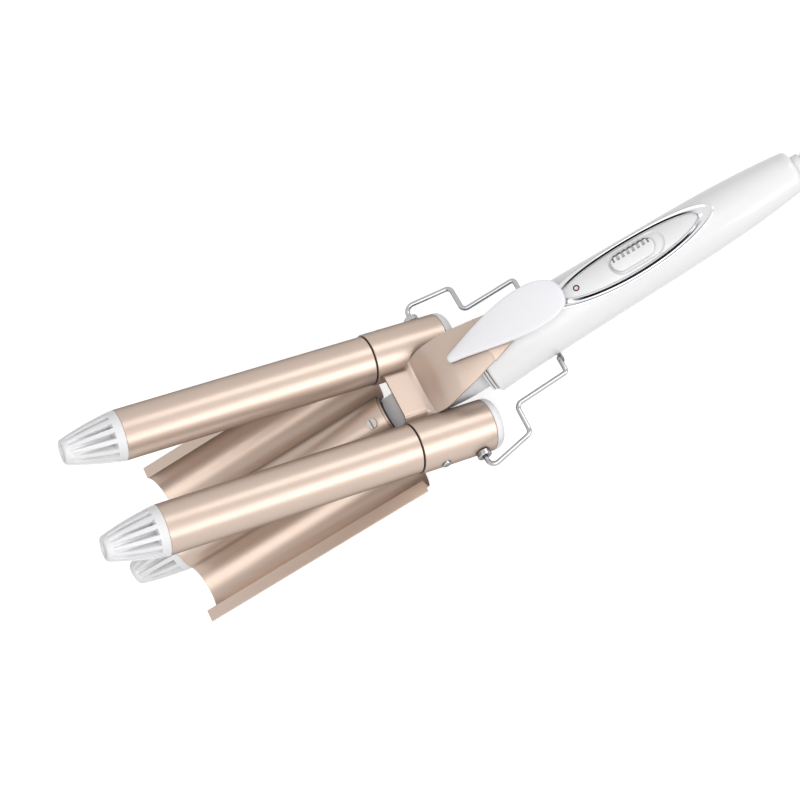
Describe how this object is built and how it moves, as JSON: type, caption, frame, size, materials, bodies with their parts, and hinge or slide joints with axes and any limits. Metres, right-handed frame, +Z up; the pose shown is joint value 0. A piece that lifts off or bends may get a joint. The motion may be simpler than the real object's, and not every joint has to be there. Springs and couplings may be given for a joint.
{
  "type": "hair waver",
  "caption": "Hair waver: wave plate over a middle barrel, sprung jaw of outer barrels with thumb lever, white handle with slide switch, wire stand, coiled mains cord.",
  "frame": {"origin": "centre of the base of the tool without its cord, on the surface it lies on", "axes": "+X along the handle from the barrels' tips to the cord, +Y across the tool, +Z up"},
  "size_m": [0.5614, 0.1469, 0.1269],
  "materials": {
    "satin_coat": "champagne satin ceramic coating on metal, soft long highlights",
    "cool_white": "cool white heat-resistant plastic with a faint lilac tint, fine satin",
    "pad_white": "very pale lilac-white, soft matte",
    "handle_pearl": "pearl white, low gloss",
    "panel_white": "white, smooth gloss",
    "neck_grey": "mid grey heat-resistant plastic, satin",
    "ring_clear_white": "clear-coated white ring, glossy",
    "chrome_trim": "polished plating",
    "switch_white": "white, fine satin, moulded serrations",
    "switch_frame": "black moulded plastic",
    "led_lens": "translucent red lens, smooth",
    "led_red": "red, smooth",
    "board_green": "green lacquered laminate",
    "heater_ceramic": "fired ceramic, dry matte",
    "spreader_aluminium": "extruded, plain",
    "base_ceramic": "dark phenolic moulding, matte",
    "steel": "plain steel, fine grain",
    "lead_sleeving": "braided glass-fibre sleeving",
    "cord_white": "white flexible PVC, soft satin",
    "clamp_grey": "grey moulded plastic",
    "plug_white": "white moulded plug, soft satin",
    "tie_black": "woven hook-and-loop strip",
    "pin_brass": "nickel-washed brass pins"
  },
  "bodies": {
    "handle": {"circuit_board": "board_green", "collar_ring": "ring_clear_white", "control_panel": "panel_white", "cord": "cord_white", "cord_clamp": "clamp_grey", "cord_coil": "cord_white", "cord_tail": "cord_white", "cord_tie": "tie_black", "handle_bottom_shell": "handle_pearl", "handle_screws": "steel", "handle_top_shell": "handle_pearl", "heater_leads": "lead_sleeving", "hinge_spring": "steel", "indicator_led": "led_lens", "indicator_ring": "led_red", "middle_barrel": "satin_coat", "middle_barrel_base": "base_ceramic", "middle_heat_spreaders": "spreader_aluminium", "middle_heater": "heater_ceramic", "middle_tip": "cool_white", "neck": "neck_grey", "panel_trim_inner": "chrome_trim", "panel_trim_outer": "chrome_trim", "plate_screws": "steel", "plug_body": "plug_white", "plug_pins": "pin_brass", "power_leads": "cord_white", "strain_relief": "cord_white", "switch_housing": "switch_frame", "wave_plate": "satin_coat"},
    "upper_jaw": {"left_barrel": "satin_coat", "left_barrel_base": "base_ceramic", "left_end_cap": "cool_white", "left_heat_spreaders": "spreader_aluminium", "left_heater": "heater_ceramic", "left_sleeve": "satin_coat", "left_tip": "cool_white", "right_barrel": "satin_coat", "right_barrel_base": "base_ceramic", "right_end_cap": "cool_white", "right_heat_spreaders": "spreader_aluminium", "right_heater": "heater_ceramic", "right_sleeve": "satin_coat", "right_tip": "cool_white", "sleeve_rivets": "chrome_trim", "yoke_lever": "satin_coat", "thumb_pad": "pad_white", "pad_screws": "steel", "hinge_tube": "steel", "jaw_leads": "lead_sleeving"},
    "stand_bushes": {"stand_bushes": "chrome_trim"},
    "stand": {"stand_wire": "chrome_trim"},
    "switch": {"switch_knob": "switch_white"}
  },
  "joints": [
    {"name": "jaw_hinge", "type": "hinge", "parent": "handle", "child": "upper_jaw", "pos_m": [-0.03525, 0, 0.01982], "axis": [0, 1, 0], "range_deg": [-33, 0], "stiffness_Nm_per_rad": 0.6, "springref_deg": -57.3, "deforming": ["hinge_spring"]},
    {"name": "stand_bush_turn", "type": "hinge", "parent": "upper_jaw", "child": "stand_bushes", "pos_m": [-0.02883, 0, 0.01685], "axis": [0, 1, 0], "range_deg": [0, 40]},
    {"name": "stand_swing", "type": "hinge", "parent": "stand_bushes", "child": "stand", "pos_m": [-0.02883, 0, 0.01685], "axis": [0, 1, 0], "range_deg": [0, 110]},
    {"name": "switch_slide", "type": "slide", "parent": "handle", "child": "switch", "axis": [1, 0, 0], "range_m": [0, 0.004]}
  ],
  "couplings": [
    {"joint": "stand_bush_turn", "follows": "jaw_hinge", "ratio": -1.15}
  ]
}
